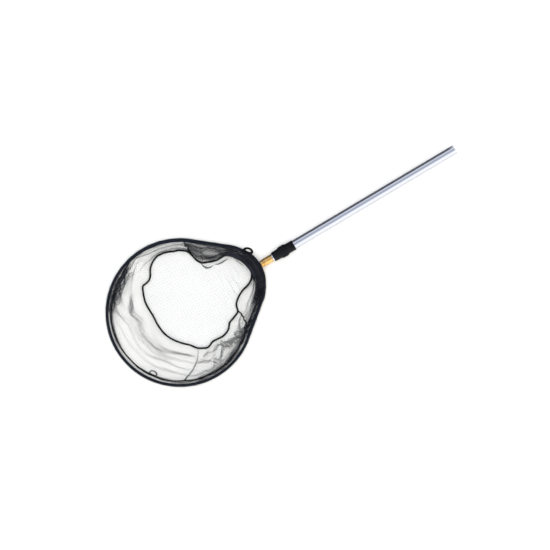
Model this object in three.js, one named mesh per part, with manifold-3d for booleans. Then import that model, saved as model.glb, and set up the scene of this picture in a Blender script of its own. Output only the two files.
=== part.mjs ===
// Landing net: a shallow netting bag on a hoop head that screws onto a two-part telescopic pole,
// lying flat. Millimetres. +X runs from the hoop to the butt of the pole, +Z is square to the hoop.
// Everything is modelled about the pole's axis, with x = 0 at the front end of the outer tube, and
// the whole net is then raised onto z = 0 and centred along X.
import * as THREE from 'three';
import { ParametricGeometry } from 'three/addons/geometries/ParametricGeometry.js';
import { mergeVertices } from 'three/addons/utils/BufferGeometryUtils.js';
import Module from 'manifold-3d';

const wasm = await Module();
wasm.setup();

// ---- Driving dimensions ------------------------------------------------------------------------

const touchGap = 0.4; // between pieces that touch, or are sewn or pressed together
const turnGap = 0.35; // radial clearance of pieces that turn or slide

// Pole
const outerRadius = 12.5;
const outerWall = 1.3;
const outerLength = 531;
const slideGap = 0.5; // radial, between the two tubes
const innerWall = 1.2;
const innerLength = 519;
const stubLength = 4; // inner tube left showing when the pole is pushed in
const plugDepth = 16;
const plugRecess = 10;
const plugWall = 2.4;
const bushPlugLength = 16;
const bushFlangeLength = 6;
const bushWall = 4;

// Twist lock
const nutRear = 6; // how far the nut reaches back over the outer tube
const nutLength = 43;
const nutGripLength = 22;
const nutGripWall = 2.25;
const nutWaistWall = 1.3;
const nutNoseWall = 0.9;
const nutLip = 2.6;
const sleeveRearLength = 21.6; // of the lock body, behind the nut
const bodyWall = 1.2;
const neckWall = 1;
const neckLength = 14;
const shoulderLength = 4;
const colletWall = 1.1;
const colletTaper = 0.4;
const colletSlot = 2.2;

// Ferrule and the stud that screws into it
const ferruleLength = 34;
const ferruleStep = 0.2;
const ferruleNeckStep = 1.1;
const ferruleNeckLength = 7;
const ferruleSpigot = 23;
const ferruleWall = 2.6;
const studRadius = 4.75;
const studDepth = 17; // in the yoke
const studReach = 14; // in the ferrule
const studSpare = 3.5; // ferrule bore left past the end of the stud

// Hoop outline: a round bow, two straight legs and a blunt nose, at the sleeve's outer edge
const bowRadius = 202;
const noseRadius = 116;
const noseOffset = 136; // from the bow's centre to the nose arc's centre
const rodRadius = 4;
const rodEndGap = 9; // each rod end stops this far from the pole's axis

// Yoke that holds both rod ends and the stud
const yokeHalfWidth = 27;
const yokeDepth = 18;
const yokeSideWall = 4;
const yokeFrontWall = 1.3;
const hubWall = 2.2;
const rivetSpread = 17;
const rivetRadius = 1.8;
const rivetHeadRadius = 3.4;
const rivetHeadHeight = 1.4;

// Netting
const sleeveWall = 1.8; // layers of netting round the rod
const sleeveWidth = 15.2; // from the outer edge to the stitched hem
const hemHalfThickness = 1.4;
const rimSeamRadius = 1.9;
const gatherDepth = 26; // bunched netting over the yoke
const gatherHalfWidth = 34;
const gatherCover = 2.3;
const gatherFront = 1.6;
const gatherBlend = 4; // degrees over which the bag's edge goes round the bunched netting
const bagTopGap = 1.2; // between the rim's seam and the bag's upper edge
const bagHalfThickness = 0.9;
const bagFoldShare = 0.45; // where the wall comes down to the ground, from the panel to the rim
const bagFoldHeight = 4.5;
const bagLowEdge = 1.2;
const panelThickness = 1.4;
const panelSeamRadius = 2;
const loopRadius = 8.5;
const loopCordRadius = 1.3;
const rimLoopAngle = 215.7; // degrees round the bow's centre
const rimLoopInset = 7;
const yokeLoopAngle = 11.5;
const yokeLoopOutset = 2.5;

// Seam between the bag's wall and its bottom panel, as it lies: degrees round the bow's centre, and
// the share of the way out to the wall's upper edge
const panelSeamCourse = [
  [2, 0.965], [9, 0.965], [15, 0.965], [19.5, 0.96], [22, 0.91], [24.5, 0.846],
  [29.5, 0.808], [35.5, 0.779], [41, 0.8], [47.5, 0.863], [52, 0.908], [55.5, 0.92],
  [59.5, 0.927], [65, 0.915], [70.5, 0.918], [77, 0.915], [83, 0.89], [88.5, 0.845],
  [93.5, 0.785], [99.5, 0.687], [107, 0.66], [113.5, 0.677], [119, 0.637], [131, 0.55],
  [142, 0.472], [155, 0.407], [180, 0.377], [206, 0.392], [224, 0.413], [239, 0.444],
  [256, 0.504], [265, 0.582], [272, 0.627], [278, 0.663], [288, 0.65], [295.5, 0.692],
  [301.5, 0.733], [309.5, 0.76], [318, 0.745], [324, 0.776], [330.5, 0.8], [337.5, 0.744],
  [344.5, 0.756], [349, 0.824], [351.5, 0.895], [355.5, 0.96],
];

const ringSteps = 60;
const bagSteps = 84;
const rodSides = 8;

// ---- Derived sizes and places ------------------------------------------------------------------

const outerBore = outerRadius - outerWall;
const innerRadius = outerBore - slideGap;
const innerBore = innerRadius - innerWall;
const tubeSeat = outerRadius + touchGap;
const neckRadius = tubeSeat + neckWall;
const colletBore = innerRadius + turnGap;
const colletRadius = colletBore + colletWall;
const colletNoseRadius = colletRadius - colletTaper;
const nutBore = neckRadius + turnGap;
const nutGripRadius = nutBore + nutGripWall;

const nutFront = nutRear - nutLength;
const nutGripFront = nutRear - nutGripLength;
const innerFront = nutFront - stubLength;
const ferruleFront = innerFront - ferruleLength;
const gatherFrontX = ferruleFront - touchGap;
const noseX = gatherFrontX - gatherFront;
const noseCentreX = noseX - noseRadius;
const bowCentreX = noseCentreX - noseOffset;

const rodInset = sleeveWall + touchGap + rodRadius;
const sleeveHalfHeight = rodRadius + touchGap + sleeveWall;
const rimSeamInset = sleeveWidth + touchGap + rimSeamRadius;
const bagTopInset = rimSeamInset + rimSeamRadius + bagTopGap;
const yokeFrontInset = sleeveWall - yokeFrontWall;
const yokeHalfHeight = rodRadius + yokeSideWall;
const cavityHalfHeight = yokeHalfHeight + touchGap + rivetHeadHeight + touchGap;
const gatherHalfHeight = cavityHalfHeight + gatherCover;
const rivetX = noseCentreX + Math.sqrt((noseRadius - rodInset) ** 2 - rivetSpread ** 2);

const axisHeight = nutGripRadius; // the nut's grip is the fattest part of the pole, and lies on z = 0
const floorZ = -axisHeight;
const centreX = (outerLength + bowCentreX - bowRadius) / 2;

// ---- Geometry helpers --------------------------------------------------------------------------

// Positions only, with vertices merged, collapsed triangles dropped and all faces pointing out.
function clean(source) {
  const bare = source.clone();
  bare.deleteAttribute('normal');
  bare.deleteAttribute('uv');
  const merged = mergeVertices(bare, 1e-4);
  const index = Array.from(merged.index.array);
  const corners = [new THREE.Vector3(), new THREE.Vector3(), new THREE.Vector3()];
  const faces = [];
  let volume = 0;
  for (let i = 0; i < index.length; i += 3) {
    const face = index.slice(i, i + 3);
    if (new Set(face).size < 3) continue;
    corners.forEach((corner, k) => corner.fromBufferAttribute(merged.attributes.position, face[k]));
    volume += corners[0].dot(corners[1].cross(corners[2]));
    faces.push(face);
  }
  merged.setIndex(faces.flatMap(([a, b, c]) => (volume < 0 ? [a, c, b] : [a, b, c])));
  return merged;
}

function toManifold(geometry) {
  const merged = clean(geometry);
  const vertProperties = new Float32Array(merged.attributes.position.array);
  const triVerts = new Uint32Array(merged.index.array);
  return new wasm.Manifold(new wasm.Mesh({ numProp: 3, vertProperties, triVerts }));
}

function toGeometry(manifold) {
  const mesh = manifold.getMesh();
  const geometry = new THREE.BufferGeometry();
  geometry.setAttribute('position', new THREE.BufferAttribute(new Float32Array(mesh.vertProperties), 3));
  geometry.setIndex(Array.from(mesh.triVerts));
  return geometry;
}

function cut(geometry, ...tools) {
  return toGeometry(tools.reduce((left, tool) => left.subtract(toManifold(tool)), toManifold(geometry)));
}

function join(geometry, other) {
  return toGeometry(toManifold(geometry).add(toManifold(other)));
}

function keepInside(geometry, tool) {
  return toGeometry(toManifold(geometry).intersect(toManifold(tool)));
}

// A piece turned about the pole's axis from [radius, x] pairs. The profile starts and ends on the
// axis, or closes on itself.
function turned(profile, sides) {
  const points = profile.map(([radius, x]) => new THREE.Vector2(radius, x));
  return clean(new THREE.LatheGeometry(points, sides).rotateZ(-Math.PI / 2));
}

function tube(outside, inside, x0, x1, sides) {
  return turned([[inside, x0], [outside, x0], [outside, x1], [inside, x1], [inside, x0]], sides);
}

// The corner radius that keeps a faceted bore this far from a round shaft.
function boreFor(radius, gap, sides) {
  return (radius + gap) / Math.cos(Math.PI / sides);
}

function pinAlongX(radius, x0, x1, sides) {
  const pin = new THREE.CylinderGeometry(radius, radius, x1 - x0, sides);
  return pin.rotateZ(-Math.PI / 2).translate((x0 + x1) / 2, 0, 0);
}

function pinAlongZ(radius, x, y, z0, z1, sides) {
  const pin = new THREE.CylinderGeometry(radius, radius, z1 - z0, sides);
  return pin.rotateX(Math.PI / 2).translate(x, y, (z0 + z1) / 2);
}

// How far the outline, moved in by inset, lies from the bow's centre at an angle in radians.
function outlineReach(angle, inset) {
  const turn = Math.abs(Math.atan2(Math.sin(angle), Math.cos(angle)));
  const legTurn = Math.acos((bowRadius - noseRadius) / noseOffset);
  const nose = noseRadius - inset;
  const noseEnd = Math.atan2(nose * Math.sin(legTurn), noseOffset + nose * Math.cos(legTurn));
  if (turn <= noseEnd) {
    return noseOffset * Math.cos(turn) + Math.sqrt(nose ** 2 - (noseOffset * Math.sin(turn)) ** 2);
  }
  const bow = bowRadius - inset;
  return turn <= legTurn ? bow / Math.cos(turn - legTurn) : bow;
}

function pointAt(angle, reach, z) {
  return new THREE.Vector3(bowCentreX + reach * Math.cos(angle), reach * Math.sin(angle), z);
}

// A closed ring whose section is a list of loops of points, each joined to the next and round again.
function ringFromLoops(loops) {
  const steps = loops[0].length;
  const pick = (u, v, target) => {
    const loop = loops[Math.round(u * loops.length) % loops.length];
    target.copy(loop[Math.round(v * steps) % steps]);
  };
  return clean(new ParametricGeometry(pick, loops.length, steps));
}

// A ring along the hoop's outline, with its section given as [inset, z] corners.
function hoopRing(section) {
  const angles = Array.from({ length: ringSteps }, (_, i) => ((i + 0.5) / ringSteps) * 2 * Math.PI);
  const loops = section.map(([inset, z]) =>
    angles.map((angle) => pointAt(angle, outlineReach(angle, inset), z)));
  return ringFromLoops(loops);
}

function roundSection(inset, radius, sides) {
  return Array.from({ length: sides }, (_, i) => {
    const turn = ((i + 0.5) / sides) * 2 * Math.PI;
    return [inset + radius * Math.cos(turn), radius * Math.sin(turn)];
  });
}

// A block over the nose, to either side of the pole's axis.
function noseBlock(halfWidth) {
  const reach = 2 * noseRadius;
  return new THREE.BoxGeometry(reach, 2 * halfWidth, reach).translate(noseCentreX + reach / 2, 0, 0);
}

// A flat loop with each point moved outwards, square to the loop, and set at height z.
function loopOffset(loop, distance, z) {
  return loop.map((point, i) => {
    const before = loop[(i + loop.length - 1) % loop.length];
    const after = loop[(i + 1) % loop.length];
    const along = after.clone().sub(before).normalize();
    return new THREE.Vector3(point.x + along.y * distance, point.y - along.x * distance, z);
  });
}

function atHeight(loop, z) {
  return loop.map((point) => new THREE.Vector3(point.x, point.y, z));
}

// ---- Pole --------------------------------------------------------------------------------------

function outerTube() {
  return tube(outerRadius, outerBore, 0, outerLength, 48);
}

// Hollow plug pressed in flush with the outer tube's end.
function buttPlug() {
  const radius = outerBore - touchGap;
  const mouth = outerLength - plugDepth;
  return turned([
    [0, outerLength], [radius, outerLength], [radius, mouth], [radius - plugWall, mouth],
    [radius - plugWall, mouth + plugRecess], [0, mouth + plugRecess],
  ], 24);
}

const innerTubeFront = innerFront + touchGap;
const innerTubeRear = innerTubeFront + innerLength;

function innerTube() {
  return tube(innerRadius, innerBore, innerTubeFront, innerTubeRear, 48);
}

// Guide bush in the tail of the inner tube, with a flange that runs in the outer tube.
function tailBush() {
  const plug = innerBore - touchGap;
  const flange = outerBore - turnGap;
  const front = innerTubeRear - bushPlugLength;
  const step = innerTubeRear + touchGap;
  const rear = step + bushFlangeLength;
  return turned([
    [plug - bushWall, front], [plug, front], [plug, step], [flange, step], [flange, rear],
    [plug - bushWall, rear], [plug - bushWall, front],
  ], 36);
}

// ---- Twist lock --------------------------------------------------------------------------------

const neckFront = -neckLength;
const nutShoulder = Math.min(neckFront - 4 * touchGap, nutGripFront + touchGap);

// Sleeve on the outer tube's end, with the threaded neck that the nut screws onto.
function lockBody() {
  const sleeveFront = nutRear + touchGap;
  const rear = sleeveFront + sleeveRearLength;
  const outside = tubeSeat + bodyWall;
  const seat = colletRadius + turnGap;
  const chamfer = bodyWall / 2;
  return turned([
    [tubeSeat, rear], [tubeSeat, -touchGap], [colletBore, -touchGap], [colletBore, -shoulderLength],
    [seat, -shoulderLength], [seat, neckFront], [neckRadius, neckFront], [neckRadius, sleeveFront],
    [outside, sleeveFront], [outside, rear - chamfer], [outside - chamfer, rear], [tubeSeat, rear],
  ], 36);
}

// Split clamp ring that the nut's cone squeezes onto the inner tube.
function collet() {
  const rear = -shoulderLength - touchGap;
  const front = nutFront + nutLip + touchGap;
  const ring = turned([
    [colletBore, front], [colletNoseRadius, front], [colletRadius, nutGripFront],
    [colletRadius, rear], [colletBore, rear], [colletBore, front],
  ], 36);
  const slot = new THREE.BoxGeometry(2 * nutLength, colletSlot, 2 * colletRadius);
  return cut(ring, slot.translate(0, 0, colletRadius));
}

function lockNut() {
  const coneFront = nutFront + nutLip;
  const round = nutGripWall / 2;
  return turned([
    [colletBore, nutFront], [colletNoseRadius + turnGap + nutNoseWall, nutFront],
    [colletRadius + turnGap + nutWaistWall, nutGripFront - touchGap],
    [nutGripRadius - round, nutGripFront - touchGap], [nutGripRadius, nutGripFront + round],
    [nutGripRadius, nutRear - round], [nutGripRadius - round, nutRear], [nutBore, nutRear],
    [nutBore, nutShoulder], [colletRadius + turnGap, nutShoulder],
    [colletNoseRadius + turnGap, coneFront], [colletBore, coneFront], [colletBore, nutFront],
  ], 36);
}

// ---- Ferrule and stud --------------------------------------------------------------------------

const studSides = 16;

function brassFerrule() {
  const outside = innerRadius - ferruleStep;
  const neck = outside - ferruleNeckStep;
  const neckRear = ferruleFront + ferruleNeckLength;
  const bore = boreFor(studRadius, turnGap, studSides);
  const boreEnd = ferruleFront + studReach + studSpare;
  const spigot = innerBore - touchGap;
  const spigotRear = innerFront + ferruleSpigot;
  const spigotBore = spigot - ferruleWall;
  const floorEnd = boreEnd + ferruleWall;
  const profile = [
    [0, boreEnd], [bore, boreEnd], [bore, ferruleFront], [neck, ferruleFront], [neck, neckRear],
    [outside, neckRear + ferruleNeckStep], [outside, innerFront], [spigot, innerFront],
    [spigot, spigotRear], [spigotBore, spigotRear], [spigotBore, floorEnd], [0, floorEnd],
  ];
  return turned(profile, 3 * studSides);
}

function threadStud() {
  const front = ferruleFront - studDepth;
  const rear = ferruleFront + studReach;
  const chamfer = studRadius / 5;
  return turned([
    [0, front], [studRadius, front], [studRadius, rear - chamfer], [studRadius - chamfer, rear], [0, rear],
  ], studSides);
}

// ---- Hoop and yoke -----------------------------------------------------------------------------

const rivetSides = 12;

function rivetHole(side) {
  const reach = 2 * yokeHalfHeight;
  return pinAlongZ(boreFor(rivetRadius, touchGap, rivetSides), rivetX, side * rivetSpread, -reach, reach, rivetSides);
}

// Bent rod with both ends in the yoke, drilled for its rivets.
function hoopRod() {
  const ring = hoopRing(roundSection(rodInset, rodRadius, rodSides));
  return cut(ring, noseBlock(rodEndGap), rivetHole(1), rivetHole(-1));
}

function rodTunnel() {
  return hoopRing(roundSection(rodInset, rodRadius + touchGap, rodSides));
}

function hub(radius) {
  return pinAlongX(radius, ferruleFront - yokeDepth, gatherFrontX, 24);
}

const studBore = boreFor(studRadius, touchGap, studSides);
const hubRadius = studBore + hubWall;

function yoke() {
  const back = yokeFrontInset + yokeDepth;
  const chamfer = yokeSideWall / 2;
  const bar = hoopRing([
    [yokeFrontInset, chamfer - yokeHalfHeight], [yokeFrontInset + chamfer, -yokeHalfHeight],
    [back - chamfer, -yokeHalfHeight], [back, chamfer - yokeHalfHeight],
    [back, yokeHalfHeight - chamfer], [back - chamfer, yokeHalfHeight],
    [yokeFrontInset + chamfer, yokeHalfHeight], [yokeFrontInset, yokeHalfHeight - chamfer],
  ]);
  const block = join(keepInside(bar, noseBlock(yokeHalfWidth)), hub(hubRadius));
  const bore = pinAlongX(studBore, ferruleFront - studDepth - touchGap, 0, studSides);
  return cut(block, rodTunnel(), bore, rivetHole(1), rivetHole(-1));
}

function rivet(side) {
  const seat = yokeHalfHeight + touchGap;
  const top = seat + rivetHeadHeight;
  const y = side * rivetSpread;
  const shank = pinAlongZ(rivetRadius, rivetX, y, -top, top, rivetSides);
  const head = pinAlongZ(rivetHeadRadius, rivetX, y, seat, top, rivetSides);
  const tail = pinAlongZ(rivetHeadRadius, rivetX, y, -top, -seat, rivetSides);
  return join(join(shank, head), tail);
}

// ---- Netting -----------------------------------------------------------------------------------

const sleeveEnd = gatherHalfWidth + touchGap;

// Netting folded over the rod and closed by its hem.
function rimSleeve() {
  const outside = Array.from({ length: 7 }, (_, i) => {
    const turn = (i / 6 - 0.5) * Math.PI;
    return [rodInset - sleeveHalfHeight * Math.cos(turn), sleeveHalfHeight * Math.sin(turn)];
  });
  const hem = [[sleeveWidth, hemHalfThickness], [sleeveWidth, -hemHalfThickness]];
  return cut(hoopRing([...outside, ...hem]), rodTunnel(), noseBlock(sleeveEnd));
}

function rimSeam() {
  return cut(hoopRing(roundSection(rimSeamInset, rimSeamRadius, 6)), noseBlock(sleeveEnd));
}

// Netting bunched over the yoke, open round its hub and along both arms of the rod.
function gatheredNetting() {
  const shoulder = 3;
  const front = -gatherFront;
  const back = gatherDepth - shoulder;
  const outside = hoopRing([
    [front, shoulder - gatherHalfHeight], [front + shoulder, -gatherHalfHeight],
    [back - shoulder, -gatherHalfHeight], [gatherDepth, -shoulder], [gatherDepth, shoulder],
    [back - shoulder, gatherHalfHeight], [front + shoulder, gatherHalfHeight],
    [front, gatherHalfHeight - shoulder],
  ]);
  const cavityFront = yokeFrontInset - touchGap;
  const cavityBack = yokeFrontInset + yokeDepth + touchGap;
  const cavity = hoopRing([
    [cavityFront, -cavityHalfHeight], [cavityBack, -cavityHalfHeight],
    [cavityBack, cavityHalfHeight], [cavityFront, cavityHalfHeight],
  ]);
  const room = keepInside(cavity, noseBlock(yokeHalfWidth + touchGap));
  const hubRoom = pinAlongX(hubRadius + touchGap, ferruleFront - yokeDepth, 0, 24);
  return cut(keepInside(outside, noseBlock(gatherHalfWidth)), room, rodTunnel(), hubRoom);
}

// The bag's upper edge runs under the rim's seam, and goes round the bunched netting at the nose.
function bagTopReach(angle) {
  const turn = Math.abs(Math.atan2(Math.sin(angle), Math.cos(angle)));
  const gatherInset = gatherDepth + bagTopGap;
  const gatherEnd = Math.atan2(sleeveEnd, outlineReach(0, gatherInset)) + (2 * Math.PI) / bagSteps;
  const share = THREE.MathUtils.smoothstep(turn - gatherEnd, 0, THREE.MathUtils.degToRad(gatherBlend));
  return outlineReach(angle, THREE.MathUtils.lerp(gatherInset, bagTopInset, share));
}

const seamCurve = new THREE.CatmullRomCurve3(panelSeamCourse.map(([degrees, share]) => {
  const angle = THREE.MathUtils.degToRad(degrees);
  return pointAt(angle, share * bagTopReach(angle), 0);
}), true, 'centripetal');

const seamLoop = Array.from({ length: bagSteps }, (_, i) => seamCurve.getPoint(i / bagSteps));

function bagWall() {
  const lower = loopOffset(seamLoop, panelSeamRadius + touchGap, 0);
  const upper = lower.map((point) => {
    const angle = Math.atan2(point.y, point.x - bowCentreX);
    return pointAt(angle, bagTopReach(angle), 0);
  });
  const fold = lower.map((point, i) => point.clone().lerp(upper[i], bagFoldShare));
  const lowZ = floorZ + bagLowEdge;
  const foldZ = floorZ + bagFoldHeight;
  const thickness = 2 * bagHalfThickness;
  return ringFromLoops([
    atHeight(upper, bagHalfThickness), atHeight(upper, -bagHalfThickness),
    atHeight(fold, foldZ), atHeight(lower, lowZ),
    atHeight(lower, lowZ + thickness), atHeight(fold, foldZ + thickness),
  ]);
}

function panelSeam() {
  const z = floorZ + panelSeamRadius;
  return ringFromLoops(roundSection(0, panelSeamRadius, 6)
    .map(([side, rise]) => loopOffset(seamLoop, side, z + rise)));
}

function bottomPanel() {
  const outline = loopOffset(seamLoop, -panelSeamRadius - touchGap, 0);
  const shape = new THREE.Shape(outline.map((point) => new THREE.Vector2(point.x, point.y)));
  const panel = new THREE.ExtrudeGeometry(shape, { depth: panelThickness, bevelEnabled: false });
  return clean(panel.translate(0, 0, floorZ));
}

// Small cord loop lying flat at a place on the rim.
function cordLoop(degrees, inset, z) {
  const angle = THREE.MathUtils.degToRad(degrees);
  const place = pointAt(angle, outlineReach(angle, inset), z);
  const loop = new THREE.TorusGeometry(loopRadius, loopCordRadius, 6, 20);
  return clean(loop.translate(place.x, place.y, place.z));
}

// ---- Assembly ----------------------------------------------------------------------------------

const net = new THREE.Group();
net.position.set(-centreX, 0, axisHeight);

function add(name, geometry, color, roughness, metalness) {
  const mesh = new THREE.Mesh(geometry, new THREE.MeshStandardMaterial({ color, roughness, metalness }));
  mesh.name = name;
  net.add(mesh);
}

const anodised = ['#c3c5cf', 0.3, 1];
const blackPlastic = ['#26282e', 0.45, 0];
const greyPlastic = ['#5a5c60', 0.5, 0];
const brass = ['#c9924a', 0.3, 1];
const steel = ['#a9abad', 0.35, 1];
const coatedRod = ['#1c222c', 0.4, 0.2];
const netting = ['#3c4048', 0.8, 0];
const fineNetting = ['#c9cace', 0.8, 0];
const blackCord = ['#15161a', 0.8, 0];

add('outer_tube', outerTube(), ...anodised);
add('butt_plug', buttPlug(), ...blackPlastic);
add('lock_body', lockBody(), ...blackPlastic);
add('lock_nut', lockNut(), ...blackPlastic);
add('collet', collet(), ...greyPlastic);
add('inner_tube', innerTube(), ...anodised);
add('tail_bush', tailBush(), ...greyPlastic);
add('brass_ferrule', brassFerrule(), ...brass);
add('thread_stud', threadStud(), ...steel);
add('yoke', yoke(), ...blackPlastic);
add('yoke_rivet_left', rivet(1), ...steel);
add('yoke_rivet_right', rivet(-1), ...steel);
add('hoop_rod', hoopRod(), ...coatedRod);
add('rim_sleeve', rimSleeve(), ...netting);
add('rim_seam', rimSeam(), ...blackCord);
add('gathered_netting', gatheredNetting(), ...netting);
add('bag_wall', bagWall(), ...fineNetting);
add('panel_seam', panelSeam(), ...blackCord);
add('bottom_panel', bottomPanel(), ...fineNetting);
add('rim_loop', cordLoop(rimLoopAngle, rimSeamInset + rimLoopInset,
  rimSeamRadius + touchGap + loopCordRadius), ...blackCord);
add('yoke_loop', cordLoop(yokeLoopAngle, -yokeLoopOutset,
  sleeveHalfHeight + touchGap + loopCordRadius), ...blackCord);

export default net;
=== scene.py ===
import bpy
import math
import random
import numpy as np
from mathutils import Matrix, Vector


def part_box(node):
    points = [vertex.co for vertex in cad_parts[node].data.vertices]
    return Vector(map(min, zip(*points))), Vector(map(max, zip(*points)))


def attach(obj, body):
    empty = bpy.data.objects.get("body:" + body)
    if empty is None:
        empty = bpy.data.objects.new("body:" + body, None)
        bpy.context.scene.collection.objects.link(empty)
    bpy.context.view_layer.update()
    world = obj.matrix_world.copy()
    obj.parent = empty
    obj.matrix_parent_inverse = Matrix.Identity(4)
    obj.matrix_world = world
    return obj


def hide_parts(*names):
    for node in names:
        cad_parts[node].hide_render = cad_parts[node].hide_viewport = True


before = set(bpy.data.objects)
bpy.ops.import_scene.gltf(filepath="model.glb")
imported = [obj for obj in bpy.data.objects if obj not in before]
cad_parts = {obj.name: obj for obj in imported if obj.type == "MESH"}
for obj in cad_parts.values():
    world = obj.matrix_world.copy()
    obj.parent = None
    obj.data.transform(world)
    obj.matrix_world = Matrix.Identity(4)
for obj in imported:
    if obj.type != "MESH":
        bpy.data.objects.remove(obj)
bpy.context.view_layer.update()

# Shapes are worked out in millimetres and turned to metres as each mesh is made.
mm = 0.001
tubeLow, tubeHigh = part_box("inner_tube")
axisZ = tubeLow.z / mm + (tubeHigh.z - tubeLow.z) / mm / 2


def rgb(hexColour):
    parts = [int(hexColour[i:i + 2], 16) / 255 for i in (1, 3, 5)]
    linear = [c / 12.92 if c <= 0.04045 else ((c + 0.055) / 1.055) ** 2.4 for c in parts]
    return (*linear, 1.0)


def addNode(tree, kind, settings=None, links=None):
    # settings: node attributes or socket values; links: input socket -> output socket
    node = tree.nodes.new(kind)
    for key, value in (settings or {}).items():
        if isinstance(key, str) and hasattr(node, key):
            setattr(node, key, value)
        else:
            node.inputs[key].default_value = value
    for key, source in (links or {}).items():
        tree.links.new(source, node.inputs[key])
    return node


def setStops(colourRamp, stops):
    # stops: (position, hex colour), from the lowest to the highest
    elements = colourRamp.elements
    elements[0].position, elements[1].position = stops[0][0], stops[-1][0]
    elements[0].color, elements[1].color = rgb(stops[0][1]), rgb(stops[-1][1])
    for position, colour in stops[1:-1]:
        elements.new(position).color = rgb(colour)


def newMaterial(name, look, pattern=None):
    # look: the shader's own values. pattern: a fine texture gives the relief; a coarse one, with a
    # share of the fine one added, gives the tint (hex colours) and the roughness.
    material = bpy.data.materials.new(name)
    material.use_nodes = True
    tree = material.node_tree
    tree.nodes.clear()
    shader = addNode(tree, "ShaderNodeBsdfPrincipled", look)
    addNode(tree, "ShaderNodeOutputMaterial", {"location": (600, 0)}, {"Surface": shader.outputs[0]})
    if not pattern:
        return material
    place = where = {"Vector": addNode(tree, "ShaderNodeTexCoord").outputs["Object"]}
    if "stretch" in pattern:
        stretched = addNode(tree, "ShaderNodeMapping", {"Scale": pattern["stretch"]}, place)
        where = {"Vector": stretched.outputs[0]}
    fine = addNode(tree, pattern.get("kind", "ShaderNodeTexNoise"), pattern["fine"], where).outputs[0]
    mixed = fine
    if "coarse" in pattern:
        mixed = addNode(tree, "ShaderNodeTexNoise", pattern["coarse"], place).outputs[0]
    if "share" in pattern:
        mixed = addNode(tree, "ShaderNodeMath", {"operation": "MULTIPLY_ADD", 1: pattern["share"]},
                        {0: fine, 2: mixed}).outputs[0]
    if "tint" in pattern:
        tint = addNode(tree, "ShaderNodeValToRGB", {}, {0: mixed})
        setStops(tint.color_ramp, pattern["tint"])
        tree.links.new(tint.outputs[0], shader.inputs["Base Color"])
    if "rough" in pattern:
        rough = addNode(tree, "ShaderNodeMapRange", dict(enumerate(pattern["rough"], 1)), {0: mixed})
        tree.links.new(rough.outputs[0], shader.inputs["Roughness"])
    if "relief" in pattern:
        strength, distance = pattern["relief"]
        relief = addNode(tree, "ShaderNodeBump", {"Strength": strength, "Distance": distance},
                         {"Height": fine})
        tree.links.new(relief.outputs[0], shader.inputs["Normal"])
    return material


def setMode(mode):
    bpy.ops.object.mode_set(mode=mode)


def deselectAll():
    if bpy.context.object and bpy.context.object.mode != "OBJECT":
        setMode("OBJECT")
    bpy.ops.object.select_all(action="DESELECT")


def editPiece(piece, action):
    # edit mode on one piece, with all of it selected or none
    deselectAll()
    bpy.context.view_layer.objects.active = piece
    piece.select_set(True)
    setMode("EDIT")
    bpy.ops.mesh.select_all(action=action)


def faceOut(smoothAngle=None, merge=False):
    # ends edit mode with every face turned outward; smooth below the angle (degrees)
    bpy.ops.mesh.select_all(action="SELECT")
    if merge:
        bpy.ops.mesh.remove_doubles(threshold=1e-6)
    bpy.ops.mesh.normals_make_consistent(inside=False)
    setMode("OBJECT")
    if smoothAngle:
        bpy.ops.object.shade_smooth_by_angle(angle=math.radians(smoothAngle))


def newObject(name, data):
    made = bpy.data.objects.new(name, data)
    bpy.context.scene.collection.objects.link(made)
    return made


def newPiece(name, vertices, faces):
    # vertices in mm
    mesh = bpy.data.meshes.new(name)
    mesh.from_pydata((np.concatenate(vertices) * mm).tolist(), [], faces)
    mesh.update()
    return newObject(name, mesh)


def finishPiece(piece, body, slot, material, *nodes):
    piece.data.materials.clear()
    piece.data.materials.append(material)
    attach(piece, body)
    if nodes:
        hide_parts(*nodes)
    return piece


# drawn tube, polished and clear anodised: soft reflections and faint lines very long along it, 0.5 mm
# apart, which is coarser than real so that they show
aluminium = newMaterial("anodisedAluminium", {
    "Base Color": rgb("#C3C5CC"), "Metallic": 1.0, "Roughness": 0.14,
}, {
    "stretch": (3.0, 1800.0, 1800.0), "fine": {"Scale": 1.0, "Detail": 2.0},
    "coarse": {"Scale": 18.0, "Detail": 3.0}, "share": 0.6,
    "rough": (0.4, 1.2, 0.12, 0.24), "relief": (0.04, 0.0002),
})
# bar stock turned on a lathe: rings 0.25 mm apart, browned a little where it is handled
brass = newMaterial("turnedBrass", {"Base Color": rgb("#D9AE6A"), "Metallic": 1.0, "Roughness": 0.22}, {
    "stretch": (4000.0, 40.0, 40.0), "fine": {"Scale": 1.0, "Detail": 1.0},
    "coarse": {"Scale": 90.0, "Detail": 4.0}, "tint": [(0.3, "#BE9050"), (0.5, "#D9AE6A"), (0.8, "#E3BD80")],
    "rough": (0.3, 0.7, 0.16, 0.34), "relief": (0.12, 0.0002),
})
# zinc-plated steel: bright, with a faint spangle 2 mm across
steel = newMaterial("zincSteel", {"Base Color": rgb("#B4B7BA"), "Metallic": 1.0, "Roughness": 0.3}, {
    "kind": "ShaderNodeTexVoronoi", "fine": {"Scale": 500.0}, "rough": (0.0, 1.0, 0.24, 0.42),
})
# dip-coated metal rod: dark navy vinyl with a soft gloss and slight orange peel 3 mm across
coatedRod = newMaterial("vinylCoatedRod", {
    "Base Color": rgb("#0E131D"), "Roughness": 0.4, "Specular IOR Level": 0.14,
}, {
    "fine": {"Scale": 300.0, "Detail": 2.0}, "tint": [(0.3, "#0A0E16"), (0.7, "#141B27")],
    "relief": (0.3, 0.0003),
})


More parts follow.
